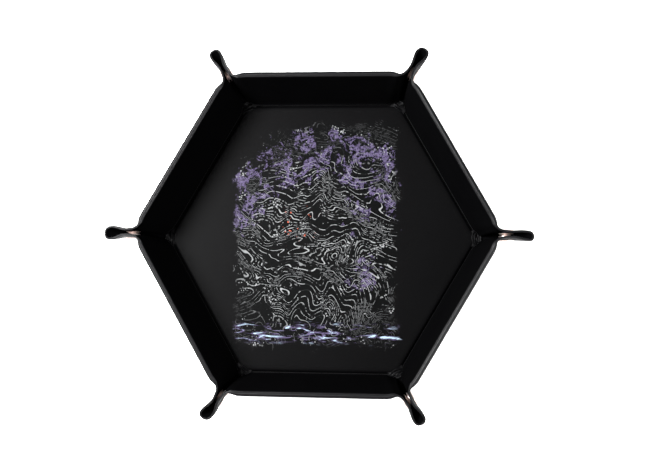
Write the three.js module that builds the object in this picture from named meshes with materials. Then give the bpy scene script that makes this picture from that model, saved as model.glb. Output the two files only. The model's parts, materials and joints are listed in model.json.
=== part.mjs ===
// Folding hexagonal dice tray: a leatherette and microfibre laminate with stiff boards in its floor and
// six walls. Each corner is pinched into a flat outward ear that a press snap holds shut. Unsnapped, the
// walls and ears fold down until the tray lies flat.
// Millimetres, +Z up, origin at the centre of the underside. Two of the six corners point along X.

import * as THREE from 'three';

// ---- driving dimensions ---------------------------------------------------------------------------

const SIDES = 6;
const FLOOR_SIDE = 103;        // floor edge, corner to corner, along the crease
const WALL_SLANT = 43;         // crease to rim, measured up the wall
const WALL_LEAN_DEG = 14.5;    // outward lean of a snapped wall from vertical

const FABRIC = 0.6;            // leatherette cover, and also the microfibre liner
const BOARD = 1.4;             // stiffening board
const GLUE_LINE = 0.2;         // between two bonded layers

const HINGE_GAP = 0.3;         // from a floor crease to the edge of each cover piece
const FLOOR_BOARD_INSET = 2.6; // bare hinge strip beside a floor crease, floor side
const WALL_BOARD_START = 2.5;  // bare hinge strip beside a floor crease, wall side
const EAR_GAP = 0.6;           // from a corner crease to the wall cover and to the ear
const LINER_END_INSET = 1.2;   // from a corner crease to the wall liner
const BOARD_END_INSET = 6;     // from a corner crease to the wall board

const EAR_OFFSET = 2.1;        // middle of an ear half to the corner's bisector plane
const EAR_START = 5;           // the ear begins this far up its crease
const EAR_TIP_RADIUS = 4;      // rounding of the unfolded tray's corners
const FOLD_GAP = 0.3;          // from the ear's outer fold to the edge of each half

const SNAP_UP_CREASE = 33;     // snap centre, measured along the corner crease
const SNAP_FROM_CREASE = 6.5;  // snap centre, measured square to the corner crease
const SNAP_HOLE = 1.6;         // radius of the hole punched through each ear half
const SNAP_FACETS = 16;
const LAST_CAP_ON_B = 3;       // corners up to this one carry the cap on ear half b, the others on half a

// ---- worked out from them -------------------------------------------------------------------------

const DEG = Math.PI / 180;
const LEAN = WALL_LEAN_DEG * DEG;
const CORNER = 60 * DEG;                        // turn from one wall to the next
const LAMINATE = 2 * FABRIC + GLUE_LINE;        // cover bonded straight onto liner
const MID = LAMINATE / 2;                       // the creases run in the middle of the laminate
const APOTHEM = FLOOR_SIDE / 2 / Math.tan(CORNER / 2);
const CREASE_START = EAR_OFFSET / Math.sin(CORNER);
const CREASE_TILT = Math.acos(
  Math.cos(CORNER / 2) / Math.hypot(Math.sin(LEAN), Math.cos(CORNER / 2) * Math.cos(LEAN)),
);
const EAR_FOLD = Math.acos(Math.sin(CORNER / 2) * Math.cos(LEAN));

const COVER_Z = -MID;
const BOARD_Z = COVER_Z + FABRIC + GLUE_LINE;
const LINER_Z = BOARD_Z + BOARD + GLUE_LINE;

// ---- materials ------------------------------------------------------------------------------------

const leatherette = new THREE.MeshStandardMaterial({ color: 0x17171a, roughness: 0.55, metalness: 0 });
const microfibre = new THREE.MeshStandardMaterial({ color: 0x1d1c20, roughness: 0.95, metalness: 0 });
const greyboard = new THREE.MeshStandardMaterial({ color: 0x6d665c, roughness: 0.9, metalness: 0 });
const laminate = new THREE.MeshStandardMaterial({ color: 0x1a191d, roughness: 0.7, metalness: 0 });
const nickel = new THREE.MeshStandardMaterial({ color: 0xb39a94, roughness: 0.25, metalness: 1 });

// ---- helpers --------------------------------------------------------------------------------------

function piece(name, geometry, material, parent) {
  const mesh = new THREE.Mesh(geometry, material);
  mesh.name = name;
  parent.add(mesh);
  return mesh;
}

// A flat sheet cut to an outline, standing on z = bottom.
function sheet(outline, bottom, thickness, holes = []) {
  const shape = new THREE.Shape(outline);
  shape.holes.push(...holes);
  const geometry = new THREE.ExtrudeGeometry(shape, { depth: thickness, bevelEnabled: false });
  return geometry.translate(0, 0, bottom);
}

// A turned piece: the profile's points are (radius, height), and the axis is local Z.
function turned(profile) {
  const points = profile.map(([radius, height]) => new THREE.Vector2(radius, height));
  return new THREE.LatheGeometry(points, SNAP_FACETS).rotateX(90 * DEG);
}

function arcPoints(centre, radius, start, end, steps) {
  const points = [];
  for (let i = 0; i <= steps; i += 1) {
    const angle = start + (end - start) * i / steps;
    points.push(new THREE.Vector2(centre.x + radius * Math.cos(angle), centre.y + radius * Math.sin(angle)));
  }
  return points;
}

// ---- floor ----------------------------------------------------------------------------------------

// A hexagon with corners on X, its edges pulled in by inset from the floor creases.
function hexagon(inset) {
  const radius = (APOTHEM - inset) / Math.cos(CORNER / 2);
  const points = [];
  for (let i = 0; i < SIDES; i += 1) {
    points.push(new THREE.Vector2(radius * Math.cos(i * CORNER), radius * Math.sin(i * CORNER)));
  }
  return points;
}

function addFloor(tray) {
  piece('base_cover', sheet(hexagon(HINGE_GAP), MID + COVER_Z, FABRIC), leatherette, tray);
  piece('base_board', sheet(hexagon(FLOOR_BOARD_INSET), MID + BOARD_Z, BOARD), greyboard, tray);
  piece('base_liner', sheet(hexagon(FLOOR_BOARD_INSET), MID + LINER_Z, FABRIC), microfibre, tray);
}

// ---- walls ----------------------------------------------------------------------------------------
// A wall's own frame: X along its floor crease, Y up the wall, Z towards the liner.

// The wall widens upwards between its two corner creases.
function wallOutline(bottom, endInset) {
  const halfWidth = (height) => (
    FLOOR_SIDE / 2 - CREASE_START + height * Math.tan(CREASE_TILT) - endInset / Math.cos(CREASE_TILT)
  );
  return [
    new THREE.Vector2(-halfWidth(bottom), bottom),
    new THREE.Vector2(halfWidth(bottom), bottom),
    new THREE.Vector2(halfWidth(WALL_SLANT), WALL_SLANT),
    new THREE.Vector2(-halfWidth(WALL_SLANT), WALL_SLANT),
  ];
}

function addWall(number, wall) {
  const cover = wallOutline(HINGE_GAP, EAR_GAP);
  const board = wallOutline(WALL_BOARD_START, BOARD_END_INSET);
  const liner = wallOutline(WALL_BOARD_START, LINER_END_INSET);
  piece(`wall_${number}_cover`, sheet(cover, COVER_Z, FABRIC), leatherette, wall);
  piece(`wall_${number}_board`, sheet(board, BOARD_Z, BOARD), greyboard, wall);
  piece(`wall_${number}_liner`, sheet(liner, LINER_Z, FABRIC), microfibre, wall);
}

// ---- corner ears ----------------------------------------------------------------------------------
// An ear half's own frame: Y up the corner crease, X away from the wall, Z towards the liner.

// Turns a point of the wall's frame, counted from the foot of the crease, into the ear's frame.
function inEarFrame(x, y) {
  return new THREE.Vector2(x, y).rotateAround(new THREE.Vector2(0, 0), CREASE_TILT);
}

// One half of the kite between two walls: crease, rim, rounded tip and outer fold.
function earOutline() {
  const foldStart = inEarFrame(CREASE_START, 0);
  const tip = inEarFrame(CREASE_START + WALL_SLANT * Math.tan(CORNER / 2), WALL_SLANT);
  const fold = tip.clone().sub(foldStart).normalize();
  const foldX = (y) => foldStart.x + (y - foldStart.y) * fold.x / fold.y - FOLD_GAP / fold.y;
  const centre = tip.clone().addScaledVector(fold, -EAR_TIP_RADIUS / Math.sin(CORNER));
  const rimNormal = CREASE_TILT + 90 * DEG;
  const foldNormal = CREASE_TILT + 60 * DEG + Math.asin(FOLD_GAP / EAR_TIP_RADIUS);
  return [
    new THREE.Vector2(foldX(EAR_START), EAR_START),
    ...arcPoints(centre, EAR_TIP_RADIUS, foldNormal, rimNormal, 3),
    new THREE.Vector2(EAR_GAP, WALL_SLANT / Math.cos(CREASE_TILT) + EAR_GAP * Math.tan(CREASE_TILT)),
    new THREE.Vector2(EAR_GAP, EAR_START),
  ];
}

function earHalf(side) {
  const outline = earOutline().map((point) => new THREE.Vector2(side * point.x, point.y));
  const hole = new THREE.Path();
  hole.absarc(side * SNAP_FROM_CREASE, SNAP_UP_CREASE, SNAP_HOLE, 0, 2 * Math.PI);
  return sheet(outline, -MID, LAMINATE, [hole]);
}

// A group that sits on the corner crease at one end of a wall and is folded outwards about it.
function earGroup(side, wall) {
  const crease = new THREE.Group();
  crease.position.x = side * (FLOOR_SIDE / 2 - CREASE_START);
  crease.rotation.z = -side * CREASE_TILT;
  const ear = new THREE.Group();
  ear.rotation.y = side * EAR_FOLD;
  crease.add(ear);
  wall.add(crease);
  return ear;
}

// ---- press snaps ----------------------------------------------------------------------------------
// A snap's own frame: Z runs along its axis, 0 in the corner's bisector plane, positive on the cap's side.

const FACE = EAR_OFFSET - MID;      // inner face of an ear half
const BACK = EAR_OFFSET + MID;      // outer face of an ear half
const SEAT = 0.1;                   // between a snap piece and the laminate that it clamps

// Domed cap with a rivet shaft that passes through its ear half into the socket.
function capProfile() {
  const rim = BACK + SEAT;
  return [
    [0, 1], [1.3, 1], [1.3, rim], [4.6, rim], [5, rim + 0.35],
    [4.3, rim + 0.85], [2.4, rim + 1.15], [0, rim + 1.25],
  ];
}

// Ring that the stud's head snaps into, with a hole above it for the cap's shaft.
function socketProfile() {
  const seat = FACE - SEAT;
  return [
    [1.6, seat - 0.4], [2.4, seat - 0.4], [2.4, -0.5], [3.8, -0.5], [4.7, seat - 0.7],
    [4.7, seat], [1.6, seat], [1.6, seat - 0.4],
  ];
}

// Flange with a hollow head, open towards the post's shaft.
function studProfile() {
  const seat = -(FACE - SEAT);
  return [
    [0, -0.2], [1.5, -0.2], [1.5, seat], [4.6, seat], [4.6, seat + 0.5],
    [1.85, seat + 0.5], [2, 0.1], [1.6, 0.6], [0, 0.6],
  ];
}

// Flat-headed rivet that passes through the other ear half into the stud.
function postProfile() {
  const rim = -(BACK + SEAT);
  return [[0, rim - 0.7], [3.4, rim - 0.7], [4.4, rim - 0.3], [4.4, rim], [1.2, rim], [1.2, -0.5], [0, -0.5]];
}

function snapSeat(side, ear, turnedOver) {
  const seat = new THREE.Group();
  seat.position.set(side * SNAP_FROM_CREASE, SNAP_UP_CREASE, EAR_OFFSET);
  seat.rotation.x = turnedOver ? 180 * DEG : 0;
  ear.add(seat);
  return seat;
}

function addCapSide(corner, side, ear) {
  const seat = snapSeat(side, ear, true);
  piece(`snap_${corner}_cap`, turned(capProfile()), nickel, seat);
  piece(`snap_${corner}_socket`, turned(socketProfile()), nickel, seat);
}

function addStudSide(corner, side, ear) {
  const seat = snapSeat(side, ear, false);
  piece(`snap_${corner}_stud`, turned(studProfile()), nickel, seat);
  piece(`snap_${corner}_post`, turned(postProfile()), nickel, seat);
}

// ---- assembly -------------------------------------------------------------------------------------

// Corner n has ear half a on wall n and ear half b on the wall before it.
function addEar(corner, half, wall) {
  const side = half === 'a' ? 1 : -1;
  const ear = earGroup(side, wall);
  piece(`ear_${corner}${half}`, earHalf(side), laminate, ear);
  const addSnapSide = half === capHalf(corner) ? addCapSide : addStudSide;
  addSnapSide(corner, side, ear);
}

function capHalf(corner) {
  return corner <= LAST_CAP_ON_B ? 'b' : 'a';
}

function wallFrame(number, tray) {
  const spoke = new THREE.Group();
  spoke.rotation.z = (number - 1) * CORNER + CORNER / 2 - 90 * DEG;
  const wall = new THREE.Group();
  wall.position.set(0, APOTHEM, MID);
  wall.rotation.x = 90 * DEG - LEAN;
  spoke.add(wall);
  tray.add(spoke);
  return wall;
}

const tray = new THREE.Group();
addFloor(tray);
for (let number = 1; number <= SIDES; number += 1) {
  const wall = wallFrame(number, tray);
  addWall(number, wall);
  addEar(number, 'a', wall);
  addEar(number % SIDES + 1, 'b', wall);
}

export default tray;
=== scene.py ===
"""Folding hexagonal dice tray: leatherette outside, printed microfibre inside, pinched snap corners.

Shapes are worked out in millimetres in each wall's or ear's own frame and written out in metres.
A wall's frame has X along its floor crease, Y up the wall and Z towards the lining.
An ear's frame has X away from the wall, Y up the corner crease and Z towards the lining.
"""

import json
import math
import random

import bmesh
import bpy
from mathutils import Matrix, Vector, noise


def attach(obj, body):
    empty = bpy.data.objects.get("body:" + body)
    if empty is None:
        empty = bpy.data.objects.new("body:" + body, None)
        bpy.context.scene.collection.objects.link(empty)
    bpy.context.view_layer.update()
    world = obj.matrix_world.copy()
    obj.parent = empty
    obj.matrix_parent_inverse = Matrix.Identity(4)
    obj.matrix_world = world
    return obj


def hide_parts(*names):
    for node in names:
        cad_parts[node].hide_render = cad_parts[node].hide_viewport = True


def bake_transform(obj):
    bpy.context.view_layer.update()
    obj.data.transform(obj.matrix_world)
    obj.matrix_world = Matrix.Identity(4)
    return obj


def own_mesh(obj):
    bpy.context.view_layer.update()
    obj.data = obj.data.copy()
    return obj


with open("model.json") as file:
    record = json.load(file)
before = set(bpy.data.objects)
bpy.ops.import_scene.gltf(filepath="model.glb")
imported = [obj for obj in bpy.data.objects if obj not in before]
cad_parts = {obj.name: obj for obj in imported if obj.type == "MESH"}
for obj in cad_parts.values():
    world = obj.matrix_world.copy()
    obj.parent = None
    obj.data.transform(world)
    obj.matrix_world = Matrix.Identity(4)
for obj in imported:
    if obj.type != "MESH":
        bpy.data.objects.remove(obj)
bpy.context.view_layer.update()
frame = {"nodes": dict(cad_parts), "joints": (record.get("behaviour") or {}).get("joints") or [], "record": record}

# ---- sizes from the frame ---------------------------------------------------------------------

MM = 0.001
SIDES = 6
CORNER = math.radians(60)
JOINTS = {joint["name"]: joint for joint in frame["joints"]}

WALL_CREASE = Vector(JOINTS["wall_1_fold"]["pos_m"]) / MM
EAR_CREASE = -Vector(JOINTS["ear_1a_fold"]["axis"])
APOTHEM = WALL_CREASE.xy.length
MID = WALL_CREASE.z
LEAN = math.atan(math.cos(CORNER / 2) * EAR_CREASE.x / EAR_CREASE.z)
HALF_SIDE = APOTHEM * math.tan(CORNER / 2)

# ---- sizes that the frame doesn't state -------------------------------------------------------

WALL_SLANT = 43.0        # crease to rim
EAR_OFFSET = 2.1         # middle of an ear half to the corner's bisector plane
SNAP_UP = 33.0           # snap centre along the corner crease
SNAP_OUT = 6.5           # snap centre square to the corner crease
BOARDED = 2.3            # lining above the laminate's middle, over a board
FLOOR_TOP = MID + BOARDED
WALL_FOLD = math.pi / 2 - LEAN
EAR_FOLD = math.acos(math.sin(CORNER / 2) * math.cos(LEAN))
CREASE_START = EAR_OFFSET / math.sin(CORNER)
CREASE_TILT = math.acos(
    math.cos(CORNER / 2) / math.hypot(math.sin(LEAN), math.cos(CORNER / 2) * math.cos(LEAN))
)
HINGE_RADIUS = 1.3       # bend of the laminate at a floor crease
TIP_RADIUS = 4.0         # rounding of the unfolded tray's corners
EDGE_ROUND = 0.26        # bulge of a rim, as a share of its thickness
EDGE_SQUARE = 2.6        # 2 would make the rim's section an ellipse; more makes it squarer
LINING_SHARE = 0.3       # of the rim's thickness, up to the seam between lining and cover
SEAM_DEPTH = 0.09        # of that seam, as a share of the rim's thickness
PADDING = 0.45           # turned edges under the cover
LOOP_GAP = 0.1           # from an ear's outer loop to the line where its two halves meet
FOOT_TUCKED = 1.85       # how far a wall's sheet runs under the floor panel's edge
FOOT_ROWS = 18           # rows of a wall's mesh in its rolled foot
FOOT_BEAD = 0.35         # height of the soft bead that the lining makes at the foot of a board
FOOT_BEAD_UP = 3.6       # where that bead lies, from the floor crease
PINCH = 1.9              # how far the snap pulls the top of a corner crease in towards the tray
SWELL = {1: 0.4, 2: 1.4, 3: 1.1, 4: 1.6, 5: 1.5, 6: 1.2}  # opening of each ear's outer loop
SWAY = {1: -1.4, 2: -0.5, 3: 0.0, 4: 0.9, 5: -1.6, 6: 0.2}  # of each ear's tip, counterclockwise
SQUEEZE = 0.5            # how much closer the ear's halves lie above the snap
RIM_ROW = WALL_SLANT - 0.4  # where the rim starts to roll over the board


# ---- small helpers ----------------------------------------------------------------------------

def smooth(x):
    x = min(max(x, 0.0), 1.0)
    return x * x * (3 - 2 * x)


def span(start, end, steps):
    return [start + (end - start) * i / steps for i in range(steps + 1)]


def turn(angle, axis):
    return Matrix.Rotation(angle, 4, axis)


def move(x, y, z):
    return Matrix.Translation((x, y, z))


def wall_frame(number):
    spoke = (number - 1) * CORNER + CORNER / 2 - math.pi / 2
    return turn(spoke, "Z") @ move(0, APOTHEM, MID) @ turn(WALL_FOLD, "X")


def ear_frame(wall, side):
    foot = move(side * (HALF_SIDE - CREASE_START), 0, 0)
    return wall_frame(wall) @ foot @ turn(-side * CREASE_TILT, "Z") @ turn(side * EAR_FOLD, "Y")


def ears():
    """Every ear half: its corner, letter, wall and side."""
    for corner in range(1, SIDES + 1):
        yield corner, "a", corner, 1
        yield corner, "b", (corner - 2) % SIDES + 1, -1


def ripple(x, y, scale, seed):
    """Smooth noise from -1 to 1 for slack in the fabric."""
    return noise.noise(Vector((x / scale, y / scale, seed * 7.3)))


def new_object(name, mesh):
    obj = bpy.data.objects.new(name, mesh)
    bpy.context.scene.collection.objects.link(obj)
    return obj


def finish_mesh(mesh, sharp_degrees=48):
    """Faces out, smooth shading, and sharp edges where the surface really turns."""
    work = bmesh.new()
    work.from_mesh(mesh)
    bmesh.ops.remove_doubles(work, verts=work.verts, dist=1e-7)
    bmesh.ops.recalc_face_normals(work, faces=work.faces)
    for face in work.faces:
        face.smooth = True
    for edge in work.edges:
        edge.smooth = edge.calc_face_angle(0) < math.radians(sharp_degrees)
    work.to_mesh(mesh)
    work.free()


def mesh_piece(name, verts, faces, face_slots, materials):
    mesh = bpy.data.meshes.new(name)
    mesh.from_pydata([v * MM for v in verts], [], faces)
    for material in materials:
        mesh.materials.append(material)
    for polygon, slot in zip(mesh.polygons, face_slots):
        polygon.material_index = slot
    finish_mesh(mesh)
    return new_object(name, mesh)


# ---- bent sheets ------------------------------------------------------------------------------

def fillet(s, radius, fold, towards):
    """A sheet bent by fold at s = 0: its middle and its lining-side normal, across the bend.

    The sheet runs along +X for s > 0. towards is 1 if it bends to the lining side, else -1.
    """
    reach = radius * math.tan(fold / 2)
    if s >= reach:
        return Vector((s, 0)), Vector((0, 1))
    if s <= -reach:
        point = Vector((s * math.cos(fold), -s * towards * math.sin(fold)))
        return point, Vector((towards * math.sin(fold), math.cos(fold)))
    angle = fold * (reach - s) / (2 * reach)
    point = Vector((reach - radius * math.sin(angle), towards * radius * (1 - math.cos(angle))))
    return point, Vector((towards * math.sin(angle), math.cos(angle)))


def border(rows, cols):
    """The grid's border cells in order, counted once round."""
    cells = [(0, c) for c in range(cols)]
    cells += [(r, cols - 1) for r in range(1, rows)]
    cells += [(rows - 1, c) for c in range(cols - 2, -1, -1)]
    cells += [(r, 0) for r in range(rows - 2, 0, -1)]
    return cells


def rim_lift(t, rounding):
    """Height of the rim's rolled edge from the lining, t = 0, to the cover, t = 1."""
    seam = SEAM_DEPTH * math.exp(-((t - LINING_SHARE) / 0.07) ** 2)
    return rounding * (math.sqrt(max(1 - abs(2 * t - 1) ** EDGE_SQUARE, 0)) - seam / EDGE_ROUND)


def closed_sheet(name, lining, cover, materials=None, rounding=EDGE_ROUND, steps=14, shiny_rows=0):
    """A sheet from its lining-side and cover-side grids; its last row is a rounded rim.

    Its end columns lie inside a fold. The first shiny_rows rows of lining are stretched over a crease and take the
    glossy lining, whose paler base is painted highlight.
    """
    rows, cols = len(lining), len(lining[0])
    verts = [p for row in lining for p in row] + [p for row in cover for p in row]
    half = rows * cols
    faces, slots = [], []
    for r in range(rows - 1):
        for c in range(cols - 1):
            a = r * cols + c
            faces.append((a, a + 1, a + cols + 1, a + cols))
            slots.append(3 if r < shiny_rows else 0)
            faces.append((half + a, half + a + cols, half + a + cols + 1, half + a + 1))
            slots.append(1)
    chains = []
    for r, c in border(rows, cols):
        start, end = lining[r][c], cover[r][c]
        out = Vector((0, 0, 0))
        if r == rows - 1:
            out = (start + end - lining[r - 1][c] - cover[r - 1][c]).normalized()
        chain = [r * cols + c]
        for i in range(1, steps):
            t = i / steps
            chain.append(len(verts))
            verts.append(start.lerp(end, t) + out * rim_lift(t, rounding) * (end - start).length)
        chains.append((c, chain + [half + r * cols + c]))
    for (column, this), (next_column, following) in zip(chains, chains[1:] + chains[:1]):
        folded = column == next_column
        for i in range(steps):
            faces.append((this[i], this[i + 1], following[i + 1], following[i]))
            slots.append(0 if folded else 2)
    return mesh_piece(name, verts, faces, slots, materials or SHEET_MATERIALS)


def lathe(name, profile, matrix, material, segments=48):
    """A turned metal part from (radius, height) points, closed on itself or on its axis."""
    verts, faces = [], []
    for radius, height in profile:
        for i in range(segments):
            around = 2 * math.pi * i / segments
            verts.append(matrix @ Vector((radius * math.cos(around), radius * math.sin(around), height)))
    count = len(profile)
    for p in range(count):
        q = (p + 1) % count
        if profile[p][0] == 0 and profile[q][0] == 0:
            continue
        for i in range(segments):
            j = (i + 1) % segments
            faces.append((p * segments + i, p * segments + j, q * segments + j, q * segments + i))
    return mesh_piece(name, verts, faces, [0] * len(faces), [material])


def lining_height(up, beyond):
    """Lining above the laminate's middle: raised over the board, down at the creases.

    up is measured from the floor crease, and beyond from the corner crease into the wall.
    """
    foot = FOOT_BEAD * math.exp(-((up - FOOT_BEAD_UP) / 0.7) ** 2)
    return MID + (BOARDED - MID + foot) * smooth((up - 1.6) / 1.6) * smooth((beyond - 1.0) / 5.5)


def cover_depth(up, beyond):
    """Cover outside the laminate's middle: padded a little by its turned edges, except at the creases."""
    return MID + PADDING * smooth((up - 3) / 6) * smooth((beyond - 1.2) / 6)


def pinched(x, y):
    """How far a point is pulled along the ear, into the tray. x is square to the crease, y along it."""
    return PINCH * smooth((y - 3) / 22) * (1 - smooth(abs(x) / (10 if x < 0 else 6)))


# ---- materials --------------------------------------------------------------------------------

class Shader:
    """A material's nodes, with short calls for the ones used here."""

    def __init__(self, name):
        self.material = bpy.data.materials.new(name)
        self.material.use_nodes = True
        self.tree = self.material.node_tree
        self.bsdf = self.tree.nodes["Principled BSDF"]
        self.place = self.tree.nodes.new("ShaderNodeTexCoord").outputs["Object"]

    def node(self, kind, **settings):
        made = self.tree.nodes.new(kind)
        for key, value in settings.items():
            setattr(made, key, value)
        return made

    def feed(self, socket, value):
        if isinstance(value, bpy.types.NodeSocket):
            self.tree.links.new(value, socket)
        else:
            socket.default_value = value

    def math(self, operation, a, b=0.0):
        made = self.node("ShaderNodeMath", operation=operation)
        self.feed(made.inputs[0], a)
        self.feed(made.inputs[1], b)
        return made.outputs[0]

    def ramp(self, value, low, high, to_low=0.0, to_high=1.0):
        made = self.node("ShaderNodeMapRange", interpolation_type="SMOOTHSTEP")
        self.feed(made.inputs["Value"], value)
        for key, number in zip(("From Min", "From Max", "To Min", "To Max"), (low, high, to_low, to_high)):
            made.inputs[key].default_value = number
        return made.outputs["Result"]

    def mapping(self, scale, turned=0.0, moved=(0, 0, 0)):
        made = self.node("ShaderNodeMapping")
        self.feed(made.inputs["Vector"], self.place)
        made.inputs["Scale"].default_value = scale
        made.inputs["Rotation"].default_value = (0, 0, turned)
        made.inputs["Location"].default_value = moved
        return made.outputs["Vector"]

    def noise(self, scale, detail=2.0, rough=0.5, warp=0.0, vector=None):
        made = self.node("ShaderNodeTexNoise")
        self.feed(made.inputs["Vector"], vector or self.place)
        made.inputs["Scale"].default_value = scale
        made.inputs["Detail"].default_value = detail
        made.inputs["Roughness"].default_value = rough
        made.inputs["Distortion"].default_value = warp
        return made.outputs["Fac"]

    def cells(self, scale, feature="F1", vector=None):
        made = self.node("ShaderNodeTexVoronoi", feature=feature)
        self.feed(made.inputs["Vector"], vector or self.place)
        made.inputs["Scale"].default_value = scale
        return made.outputs["Distance"]

    def mix(self, share, a, b):
        made = self.node("ShaderNodeMix", data_type="RGBA")
        self.feed(made.inputs["Factor"], share)
        self.feed(made.inputs[6], a)
        self.feed(made.inputs[7], b)
        return made.outputs[2]

    def bump(self, height, distance, strength=1.0):
        made = self.node("ShaderNodeBump")
        self.feed(made.inputs["Height"], height)
        made.inputs["Distance"].default_value = distance
        made.inputs["Strength"].default_value = strength
        self.feed(self.bsdf.inputs["Normal"], made.outputs["Normal"])

    def set(self, **values):
        for key, value in values.items():
            self.feed(self.bsdf.inputs[key.replace("_", " ")], value)


def leatherette_material():
    s = Shader("leatherette")
    pebbles = s.cells(1500)
    creases = s.cells(520, "DISTANCE_TO_EDGE")
    mottling = s.noise(160, 4)
    colour = s.mix(mottling, (0.004, 0.004, 0.0045, 1), (0.008, 0.0079, 0.0086, 1))
    height = s.math("ADD", s.ramp(pebbles, 0.0, 0.75, 1.0, 0.0), s.ramp(creases, 0.0, 0.12, 0.0, 0.8))
    s.set(Base_Color=colour, Roughness=s.ramp(mottling, 0.3, 0.7, 0.55, 0.62), Specular_IOR_Level=0.09)
    s.bump(height, 0.00007, 0.7)
    return s.material


def lining_shader(name, dark, pale, gloss=0.0, roughness=0.9):
    """Short, dense microfibre: matte, with a faint nap and fine fibre bump."""
    s = Shader(name)
    nap = s.noise(45, 5, 0.6)
    fibres = s.noise(4200, 3, 0.7)
    base = s.mix(nap, (dark, dark, dark * 1.12, 1), (pale, pale, pale * 1.12, 1))
    s.set(Roughness=roughness, Specular_IOR_Level=gloss)
    s.bump(s.math("ADD", fibres, s.math("MULTIPLY", nap, 1.5)), 0.00006, 0.6)
    return s, base, fibres


def lining_material():
    s, base, _ = lining_shader("lining", 0.0009, 0.0015)
    s.set(Base_Color=base)
    return s.material


def tuck_material():
    """Lining stretched shiny over a pucker: real gloss, on a paler base than the plain lining that is painted
    highlight.
    """
    s, base, _ = lining_shader("puckered_lining_painted_highlight", 0.0014, 0.0024, 0.05, 0.42)
    s.set(Base_Color=base)
    return s.material


def edge_material():
    """The laminate's trimmed edge, a little paler than its faces."""
    s = Shader("trimmed_edge")
    fuzz = s.noise(2600, 3, 0.7)
    s.set(Base_Color=s.mix(fuzz, (0.0022, 0.0021, 0.0025, 1), (0.005, 0.0049, 0.0054, 1)))
    s.set(Roughness=0.42, Specular_IOR_Level=0.1)
    s.bump(fuzz, 0.00005, 0.6)
    return s.material


def metal_material(name, dark, pale, smoothest, roughest):
    """Nickel plate with a rose cast, lightly hairlined."""
    s = Shader(name)
    wear = s.noise(900, 4, 0.6)
    s.set(Base_Color=s.mix(wear, dark, pale))
    s.set(Metallic=1.0, Roughness=s.ramp(wear, 0.3, 0.75, smoothest, roughest))
    s.bump(s.noise(5000, 2), 0.000004, 0.3)
    return s.material


def board_material():
    s = Shader("greyboard")
    pulp = s.noise(1400, 5, 0.7)
    s.set(Base_Color=s.mix(pulp, (0.13, 0.115, 0.10, 1), (0.20, 0.18, 0.155, 1)), Roughness=0.9)
    s.bump(pulp, 0.00006, 0.6)
    return s.material


def stage_material():
    s = Shader("stage")
    s.set(Base_Color=(0.9, 0.9, 0.9, 1), Roughness=0.8, Specular_IOR_Level=0.1)
    s.set(Emission_Color=(1, 1, 1, 1), Emission_Strength=0.9)
    return s.material


LEATHERETTE = leatherette_material()
LINING = lining_material()
GLOSSY_LINING_PAINTED_PALER = tuck_material()
EDGE = edge_material()
# The socket and stud take a paler copy of the cap's rose-nickel plating: painted highlight, to brighten their
# glints between the ear halves.
SNAP_METAL_PAINTED_BRIGHTER = metal_material("snap_metal", (0.84, 0.71, 0.67, 1), (0.95, 0.85, 0.81, 1), 0.28, 0.4)
CAP_METAL = metal_material("cap_metal", (0.68, 0.56, 0.52, 1), (0.78, 0.66, 0.61, 1), 0.26, 0.36)
BOARD = board_material()
SHEET_MATERIALS = [LINING, LEATHERETTE, EDGE, GLOSSY_LINING_PAINTED_PALER]


# ---- floor ------------------------------------------------------------------------------------

def hexagon_ring(apothem, radius, height, side_steps=14, corner_steps=5):
    """A hexagon with corners on X, rounded to radius."""
    ring = []
    radius = min(radius, apothem * 0.9)
    for corner in range(SIDES):
        spoke = (apothem - radius) / math.cos(CORNER / 2)
        centre = Matrix.Rotation(corner * CORNER, 3, "Z") @ Vector((spoke, 0, height))
        for angle in span(-CORNER / 2, CORNER / 2, corner_steps):
            around = corner * CORNER + angle
            ring.append(centre + Vector((radius * math.cos(around), radius * math.sin(around), 0)))
        after = Matrix.Rotation(CORNER, 3, "Z") @ centre
        out = (corner + 0.5) * CORNER
        lift = Vector((radius * math.cos(out), radius * math.sin(out), 0))
        for i in range(1, side_steps):
            ring.append(centre.lerp(after, i / side_steps) + lift)
    return ring


def floor_profile():
    """Distance inside the floor crease and height, from the middle of the top round to the underside."""
    top = [(APOTHEM * share, FLOOR_TOP) for share in (0.97, 0.8, 0.6, 0.4, 0.2)]
    over_board = [(6.0, FLOOR_TOP), (4.3, FLOOR_TOP), (3.65, FLOOR_TOP - 0.08), (3.1, FLOOR_TOP - 0.26)]
    down = [
        (2.72, FLOOR_TOP - 0.55), (2.5, FLOOR_TOP - 0.9), (2.38, FLOOR_TOP - 1.3), (2.2, 2 * MID + 0.05),
    ]
    flange = [(1.6, 2 * MID - 0.03), (0.95, 2 * MID - 0.05), (0.9, MID), (0.95, 0.05), (2.2, 0.04)]
    under = [(3.0, 0)] + [(APOTHEM * share, 0) for share in (0.2, 0.5, 0.8, 0.97)]
    return top, over_board + down, flange + under


def add_floor():
    top, edge, under = floor_profile()
    profile = top + edge + under
    rings = [hexagon_ring(APOTHEM - inside, 2.0, height) for inside, height in profile]
    count = len(rings[0])
    verts = [p for ring in rings for p in ring]
    faces, slots = [], []
    for r in range(len(rings) - 1):
        for c in range(count):
            after = (c + 1) % count
            faces.append((r * count + c, r * count + after, (r + 1) * count + after, (r + 1) * count + c))
            slots.append(0 if r < len(top) + len(edge) else 1)
    for ring, slot in ((0, 0), (len(rings) - 1, 1)):
        faces.append(tuple(ring * count + c for c in range(count)))
        slots.append(slot)
    floor = mesh_piece("floor_panel", verts, faces, slots, [printed_material(), LEATHERETTE])
    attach(floor, "base")
    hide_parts("base_cover", "base_liner")


# ---- print on the floor -----------------------------------------------------------------------
# A made-up pattern of storm clouds, wind lines, specks and rippled water. Positions are in millimetres.

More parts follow.
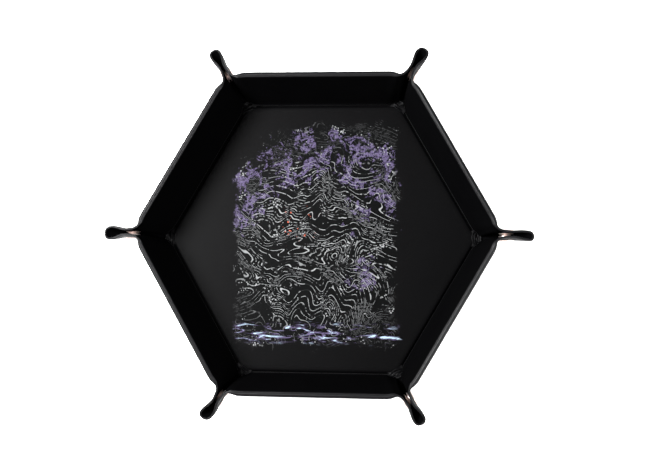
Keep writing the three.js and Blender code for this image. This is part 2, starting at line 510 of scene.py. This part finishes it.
PRINT_LEFT, PRINT_RIGHT = -56, 49
PRINT_LOW, PRINT_HIGH = -70, 74
WATERLINE = -55
WHITE_INK = (0.22, 0.225, 0.23, 1)
LAVENDER_INK = (0.057, 0.045, 0.088, 1)
WATER_INK = (0.27, 0.37, 0.43, 1)
EMBER_INK = (0.34, 0.07, 0.04, 1)


def band(s, value, low, high, soft):
    """1 between low and high, falling to 0 over soft at both ends."""
    rising = s.ramp(value, low - soft, low + soft)
    falling = s.ramp(value, high - soft, high + soft, 1, 0)
    return s.math("MULTIPLY", rising, falling)


def distance_from(s, x, y, centre):
    across = s.math("SUBTRACT", x, centre[0])
    up = s.math("SUBTRACT", y, centre[1])
    squares = s.math("ADD", s.math("MULTIPLY", across, across), s.math("MULTIPLY", up, up))
    return s.math("SQRT", squares)


def contour_lines(s, field, count, half_width, soft):
    """Thin lines where field passes evenly spaced levels."""
    level = s.math("FRACT", s.math("MULTIPLY", field, count))
    off = s.math("ABSOLUTE", s.math("SUBTRACT", level, 0.5))
    return s.ramp(off, half_width, half_width + soft, 1, 0)


def times(s, first, *others):
    for other in others:
        first = s.math("MULTIPLY", first, other)
    return first


def print_region(s, x, y, plane):
    """The printed area, ragged at its edges and cut away at the upper left."""
    rag = s.math("MULTIPLY", s.math("SUBTRACT", s.noise(0.11, 4, 0.65, vector=plane), 0.5), 22)
    x, y = s.math("ADD", x, rag), s.math("ADD", y, rag)
    scatter = s.math("MULTIPLY", s.math("SUBTRACT", s.noise(0.3, 3, 0.7, vector=plane), 0.5), 70)
    slope = s.math("ADD", s.math("SUBTRACT", s.math("MULTIPLY", x, 0.75), y), scatter)
    inside = times(s, band(s, x, PRINT_LEFT, PRINT_RIGHT, 1.5), band(s, y, PRINT_LOW, PRINT_HIGH, 1.5))
    return times(s, inside, s.ramp(slope, -88, -82))


def cloud_ink(s, x, y, plane):
    """Lavender clouds in an arc over the top, and a smaller bank at the right."""
    arc = band(s, distance_from(s, x, y, (2, -8)), 46, 80, 7)
    bank = s.ramp(distance_from(s, x, y, (29, -24)), 6, 18, 0.75, 0)
    veil = s.ramp(distance_from(s, x, y, (24, 16)), 6, 20, 0.8, 0)
    where = s.math("MAXIMUM", times(s, arc, s.ramp(y, -8, 16)), s.math("MAXIMUM", bank, veil))
    billows = s.noise(0.085, 8, 0.7, 0.8, vector=plane)
    cover = s.ramp(s.math("ADD", billows, s.math("MULTIPLY", where, 0.13)), 0.622, 0.646)
    hollows = s.ramp(s.noise(0.24, 4, 0.6, 1.2, vector=plane), 0.41, 0.47, 0.0, 1)
    grain = s.ramp(s.noise(0.7, 3, 0.7, vector=plane), 0.4, 0.52, 0.08, 1)
    return times(s, cover, hollows, grain, s.ramp(where, 0.05, 0.4))


def wind_ink(s, x, y, plane):
    """White engraved lines that flow across the print, swirl and break up into dashes."""
    curl = s.noise(0.024, 2, 0.45, 0.9, vector=s.mapping((1000, 1000, 0), moved=(31, 47, 0)))
    drift = s.math("ADD", s.math("MULTIPLY", y, 0.012), s.math("MULTIPLY", x, 0.003))
    flow = s.math("ADD", curl, drift)
    long_lines = contour_lines(s, flow, 18, 0.026, 0.036)
    hatching = contour_lines(s, flow, 54, 0.07, 0.09)
    breaks = s.ramp(s.noise(0.25, 2, 0.6, vector=plane), 0.44, 0.5)
    dashes = s.ramp(s.noise(0.5, 1, 0.5, vector=plane), 0.46, 0.52)
    patches = s.ramp(s.noise(0.045, 3, vector=plane), 0.47, 0.52)
    middle = s.ramp(distance_from(s, x, y, (2, -4)), 44, 68, 1, 0.2)
    fine = times(s, hatching, dashes, patches, 0.5)
    strong = times(s, long_lines, s.ramp(breaks, 0, 1, 0.04, 0.8))
    return times(s, s.math("MAXIMUM", fine, strong), middle)


def speck_ink(s, plane):
    """Specks like stars, of uneven size."""
    size = s.ramp(s.noise(0.08, 3, 0.6, vector=plane), 0.4, 0.72, 0.0, 0.42)
    spread = s.math("SUBTRACT", size, s.cells(0.62, vector=plane))
    return s.ramp(spread, 0, 0.12, 0, 0.8)


def water_ripples(s, y):
    """Flattened ripples along the bottom, and where they lie."""
    stretched = s.mapping((180, 900, 1000), moved=(3.7, 1.3, 0))
    return s.noise(0.5, 5, 0.62, 0.9, vector=stretched), band(s, y, PRINT_LOW + 3, WATERLINE - 2, 3.5)


def ember_ink(s, x, y, plane):
    """A drift of small warm sparks."""
    spread = s.math("SUBTRACT", 0.24, s.cells(0.36, vector=plane))
    drifting = s.ramp(distance_from(s, x, y, (-16, 8)), 5, 16, 1, 0)
    sparse = s.ramp(s.noise(0.2, 2, vector=plane), 0.48, 0.54)
    return times(s, s.ramp(spread, 0, 0.1), drifting, sparse)


def printed_material():
    s, base, fibres = lining_shader("printed_lining", 0.0009, 0.0014, 0.018, 0.45)
    plane = s.mapping((1000, 1000, 0))
    split = s.node("ShaderNodeSeparateXYZ")
    s.feed(split.inputs[0], plane)
    x, y = split.outputs["X"], split.outputs["Y"]
    region = print_region(s, x, y, plane)
    worn = s.ramp(fibres, 0.3, 0.6, 0.7, 1)
    ripples, where_wet = water_ripples(s, y)
    layers = (
        (speck_ink(s, plane), WHITE_INK),
        (cloud_ink(s, x, y, plane), LAVENDER_INK),
        (wind_ink(s, x, y, plane), WHITE_INK),
        (times(s, s.ramp(ripples, 0.535, 0.565), where_wet), LAVENDER_INK),
        (times(s, s.ramp(ripples, 0.6, 0.64), where_wet), WATER_INK),
        (ember_ink(s, x, y, plane), EMBER_INK),
    )
    colour = base
    for cover, ink in layers:
        colour = s.mix(times(s, cover, region, worn), colour, ink)
    s.set(Base_Color=colour)
    return s.material


# ---- walls ------------------------------------------------------------------------------------

def wall_end(up):
    """How far short of the corner crease the wall's panel ends."""
    return 1.2 + 3.6 * smooth((up - 18) / 22)


def wall_reach(up):
    """Half the panel's width."""
    return HALF_SIDE - CREASE_START + up * math.tan(CREASE_TILT) - wall_end(up) / math.cos(CREASE_TILT)


def wall_point(along, up, height):
    """A point of the wall's sheet; up < 0 runs under the floor panel's edge."""
    place, normal = fillet(up, HINGE_RADIUS, WALL_FOLD, 1)
    place = place + normal * height
    side = 1 if along > 0 else -1
    level = abs(along) - HALF_SIDE + CREASE_START
    x = level * math.cos(CREASE_TILT) - up * math.sin(CREASE_TILT)
    y = level * math.sin(CREASE_TILT) + up * math.cos(CREASE_TILT)
    to_ear = turn(-side * CREASE_TILT, "Z") @ turn(side * EAR_FOLD, "Y")
    pull = to_ear @ Vector((side * pinched(x, y), 0, 0))
    return Vector((along, place.x, place.y)) - pull


def add_wall(number):
    rows = span(-FOOT_TUCKED, 0, 5) + span(0.3, 5.1, 16) + span(6.5, RIM_ROW, 20)
    columns = span(-1, 1, 48)
    matrix = wall_frame(number)
    lining, cover = [], []
    for up in rows:
        reach = wall_reach(max(up, 0))
        lining.append([])
        cover.append([])
        for c in columns:
            along = reach * c
            beyond = (1 - abs(c)) * reach + wall_end(max(up, 0))
            slack = smooth((up - 5) / 8) * smooth((beyond - 6) / 6)
            inner = lining_height(up, beyond) + 0.08 * slack * ripple(along, up, 15, number)
            outer = -cover_depth(up, beyond) - 0.06 * slack * (1 + ripple(along, up, 22, number + 9))
            lining[-1].append(matrix @ wall_point(along, up, inner))
            cover[-1].append(matrix @ wall_point(along, up, outer))
    wall = closed_sheet(f"wall_{number}_panel", lining, cover, shiny_rows=FOOT_ROWS)
    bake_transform(wall)
    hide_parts(f"wall_{number}_cover", f"wall_{number}_liner")
    frame["nodes"][f"wall_{number}_board"].data.materials.clear()
    frame["nodes"][f"wall_{number}_board"].data.materials.append(BOARD)


# ---- ears -------------------------------------------------------------------------------------

def crease_radius(a):
    """Bend of the laminate at the corner crease: tight beside the snap, easing open at the rim."""
    return 1.2 + 1.2 * smooth(a / 25) + 4.8 * smooth((a - 33) / 9)


def fold_reach(up):
    """Distance along a level line from the crease's foot to the closed end of the ear's outer loop.

    The loop's outer face stays just inside the line where the two halves meet, open or shut.
    """
    return CREASE_START + up * math.tan(CORNER / 2) - (MID + LOOP_GAP) / math.cos(CORNER / 2)


def tip_drop(up, level):
    """How far the rounded tip lies below the rim's line."""
    inside = TIP_RADIUS * math.tan(CORNER / 2) - (fold_reach(WALL_SLANT) - level)
    if inside <= 0:
        return 0.0
    return (TIP_RADIUS - math.sqrt(TIP_RADIUS ** 2 - inside ** 2)) * (up / WALL_SLANT) ** 6


def ear_point(up, level, height, side, swell, sway):
    """A point of the ear's sheet, with level measured along a level line from the crease's foot."""
    up -= tip_drop(up, level)
    x = level * math.cos(CREASE_TILT) - up * math.sin(CREASE_TILT)
    y = level * math.sin(CREASE_TILT) + up * math.cos(CREASE_TILT)
    place, normal = fillet(x, crease_radius(y), EAR_FOLD, -1)
    out, share = loop_shape(x, y, up, level, swell)
    swayed = sway * smooth((x - 8) / 15) * smooth((up - 12) / 22)
    point = Vector((place.x - pinched(x, y), y, place.y + EAR_OFFSET - out - side * swayed))
    inward = Vector((-math.cos(CORNER / 2 - CREASE_TILT), math.sin(CORNER / 2 - CREASE_TILT), 0))
    facing = Vector((normal.x, 0, normal.y)) * math.sqrt(1 - share ** 2) + inward * share
    point += facing.normalized() * height
    return Vector((side * point.x, point.y, point.z))


def loop_shape(x, y, up, level, swell):
    """The ear's hollow outer loop: distance out from the bisector plane, and how far it has turned in."""
    to_fold = max((fold_reach(up) - level) * math.cos(CORNER / 2), 0)
    seat = smooth((math.hypot(x - SNAP_OUT, y - SNAP_UP) - 4) / 5)
    radius = EAR_OFFSET + swell * smooth((up - WALL_SLANT + 14) / 13) * seat
    if to_fold < radius:
        share = (radius - to_fold) / radius
        return radius * math.sqrt(1 - share ** 2), share
    squeezed = SQUEEZE * smooth((up - WALL_SLANT + 6) / 5) * (1 - smooth(abs(x - SNAP_OUT) / 8))
    return EAR_OFFSET + (radius - EAR_OFFSET) * (1 - smooth((to_fold - radius) / 8)) - squeezed, 0.0


def add_ear(corner, half, wall, side):
    matrix = ear_frame(wall, side)
    swell, sway = SWELL[corner], SWAY[corner]
    rows = span(0.7, WALL_SLANT - 6, 24) + span(WALL_SLANT - 5.2, RIM_ROW, 9)
    columns = [1 - (1 - s) ** 2 for s in span(0, 1, 52)]
    lining, cover = [], []
    for up in rows:
        first = (up * math.sin(CREASE_TILT) - wall_end(up)) / math.cos(CREASE_TILT)
        lining.append([])
        cover.append([])
        for c in columns:
            level = first + (fold_reach(up) - first) * c
            beyond = up * math.sin(CREASE_TILT) - level * math.cos(CREASE_TILT)
            inner = ear_point(up, level, lining_height(up, beyond), side, swell, sway)
            outer = ear_point(up, level, -cover_depth(up, beyond), side, swell, sway)
            lining[-1].append(matrix @ inner)
            cover[-1].append(matrix @ outer)
    ear = closed_sheet(f"ear_{corner}{half}_sheet", lining, cover)
    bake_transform(ear)
    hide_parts(f"ear_{corner}{half}")


# ---- press snaps ------------------------------------------------------------------------------

# Profiles of (radius, height). Height runs from the plane between the ear's halves, towards the cap.

CAP = [
    (0, 1.0), (1.3, 1.0), (1.3, 2.86), (4.55, 2.86), (4.88, 2.95), (5.0, 3.15), (4.92, 3.38), (4.62, 3.55),
    (4.3, 3.6), (4.05, 3.58), (3.8, 3.66), (3.1, 3.87), (2.2, 4.03), (1.1, 4.13), (0, 4.15),
]
SOCKET = [
    (1.6, 1.3), (1.6, 1.0), (2.3, 0.9), (2.4, 0.6), (2.4, -0.35), (2.55, -0.5), (2.8, -0.5),
    (2.95, -0.35), (3.0, 0.1), (3.2, 0.3), (4.2, 0.35), (4.55, 0.5), (4.7, 0.8), (4.62, 1.12),
    (4.3, 1.3),
]
STUD = [
    (0, 0.3), (0.9, 0.45), (1.5, 0.6), (1.9, 0.5), (2.0, 0.25), (1.85, -0.05), (1.8, -0.5),
    (2.1, -0.72), (3.6, -0.75), (4.3, -0.78), (4.6, -0.95), (4.5, -1.2), (4.1, -1.3), (1.5, -1.3),
    (1.5, -0.2), (0, -0.2),
]
POST = [
    (0, -0.5), (1.0, -0.5), (1.2, -0.7), (1.2, -2.84), (4.1, -2.84), (4.36, -2.92), (4.4, -3.15),
    (4.25, -3.42), (3.9, -3.58), (3.4, -3.6), (2.6, -3.5), (1.9, -3.46), (1.5, -3.25), (1.1, -3.1),
    (0, -3.05),
]


def add_snap(corner, half, wall, side):
    capped = f"snap_{corner}_cap" in frame["record"]["behaviour"]["bodies"][f"ear_{corner}{half}"]
    flip = -1 if capped else 1
    centre = move(side * SNAP_OUT, SNAP_UP, EAR_OFFSET)
    matrix = ear_frame(wall, side) @ centre @ Matrix.Diagonal((1, 1, flip, 1))
    parts = {"cap": CAP, "socket": SOCKET} if capped else {"stud": STUD, "post": POST}
    for part, profile in parts.items():
        # The socket and stud get the paler copy of the plating: painted highlight.
        material = CAP_METAL if part in ("cap", "post") else SNAP_METAL_PAINTED_BRIGHTER
        piece = lathe(f"snap_{corner}_{part}_turned", profile, matrix, material)
        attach(piece, f"ear_{corner}{half}")
        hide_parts(f"snap_{corner}_{part}")


# ---- corner tucks -----------------------------------------------------------------------------

def arc_fold(out, w, radius, spiral, middle, spread, tall):
    """A soft ridge curled round the corner's foot, fading at both ends."""
    around = math.atan2(w, 1.5 - out)
    across = math.hypot(out - 1.5, w) - radius - spiral * around
    fading = math.exp(-((around - middle) / spread) ** 4)
    return tall * fading * math.exp(-(across / 0.62) ** 2)


def tuck_height(out, w, folds):
    """Curled puckers on the floor's corner, and the lining's rise into the ears' throat."""
    level = FLOOR_TOP - 0.4 - 0.85 * smooth((out + 3.2) / 1.6)
    throat = 2.2 * smooth((out + 2.6) / 2.5) * (1 - 0.7 * smooth(out / 2.4))
    return level + throat + max(arc_fold(out, w, *fold) for fold in folds)


def corner_folds(corner):
    """Three curled folds for a corner, no two corners alike."""
    chance = random.Random(40 + corner)
    folds = []
    for radius in (3.6, 5.3, 7.0):
        spiral = chance.uniform(-0.9, 0.9)
        middle = chance.uniform(-0.3, 0.3)
        spread = chance.uniform(0.35, 0.7)
        shifted = radius + chance.uniform(-0.3, 0.3)
        tall = chance.uniform(0.75, 1.35)
        folds.append((shifted, spiral, middle, spread, tall))
    return folds


def add_tuck(corner):
    """The pucker of lining where the floor's corner runs up into the ears' throat."""
    folds = corner_folds(corner)
    foot = turn((corner - 1) * CORNER, "Z") @ move(HALF_SIDE / math.sin(CORNER / 2), 0, 0)
    lining, cover = [], []
    for out in span(-8.5, 2.4, 66):
        half_width = min(1.3 + 1.0 * max(-out, 0), 5.0) - 0.25 * max(out, 0)
        under = 0.35 - 0.25 * smooth(out + 2.6) + 0.5 * max(out, 0)
        lining.append([])
        cover.append([])
        for across in span(-1, 1, 50):
            w = half_width * across
            lining[-1].append(foot @ Vector((out, w, tuck_height(out, w, folds))))
            cover[-1].append(foot @ Vector((out, w * 0.96, under)))
    materials = [GLOSSY_LINING_PAINTED_PALER, LEATHERETTE, GLOSSY_LINING_PAINTED_PALER]
    tuck = closed_sheet(f"corner_{corner}_tuck", lining, cover, materials, rounding=0.0, steps=3)
    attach(tuck, "base")
    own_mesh(tuck)


# ---- studio -----------------------------------------------------------------------------------
# Positions are in metres, except the camera's, which is in millimetres like the tray.

STAGE_REACH = 20.0
STAGE_DROP = 0.001       # below the tray
CAMERA_PLACE = Vector((77.92, -57.62, 740.44))
CAMERA_TURN = (4.796, 5.897, 0.835)
CAMERA_LENS = 63.78


def add_light(name, place, size, watts, aim=(0, 0, 0)):
    light = bpy.data.lights.new(name, "AREA")
    light.shape = "DISK"
    light.size = size
    light.energy = watts
    lamp = new_object(name, light)
    lamp.location = place
    lamp.rotation_euler = (Vector(aim) - Vector(place)).to_track_quat("-Z", "Y").to_euler()


def add_studio():
    around = ((-1, -1), (1, -1), (1, 1), (-1, 1))
    corners = [Vector((x * STAGE_REACH, y * STAGE_REACH, -STAGE_DROP)) / MM for x, y in around]
    stage = mesh_piece("stage_floor", corners, [(0, 1, 2, 3)], [0], [stage_material()])
    world = bpy.data.worlds.new("studio")
    world.use_nodes = True
    world.node_tree.nodes["Background"].inputs["Color"].default_value = (1, 1, 1, 1)
    world.node_tree.nodes["Background"].inputs["Strength"].default_value = 0.4
    bpy.context.scene.world = world
    add_light("key_softbox", (-0.4, 0.1, 0.65), 0.26, 23.5)
    add_light("low_fill", (0.5, -0.25, 0.45), 0.4, 4.5)
    add_light("overhead_fill", (-0.1, 0.1, 1.25), 1.8, 3)


def add_camera():
    camera = bpy.data.cameras.new("camera")
    camera.sensor_width = 36
    camera.lens = CAMERA_LENS
    camera.clip_start = 0.01
    holder = new_object("camera", camera)
    holder.location = CAMERA_PLACE * MM
    holder.rotation_euler = [math.radians(angle) for angle in CAMERA_TURN]
    bpy.context.scene.camera = holder


add_floor()
for number in range(1, SIDES + 1):
    add_wall(number)
    add_tuck(number)
for ear in ears():
    add_ear(*ear)
    add_snap(*ear)
frame["nodes"]["base_board"].data.materials.clear()
frame["nodes"]["base_board"].data.materials.append(BOARD)
add_studio()
add_camera()
bpy.context.scene.view_settings.view_transform = "Standard"
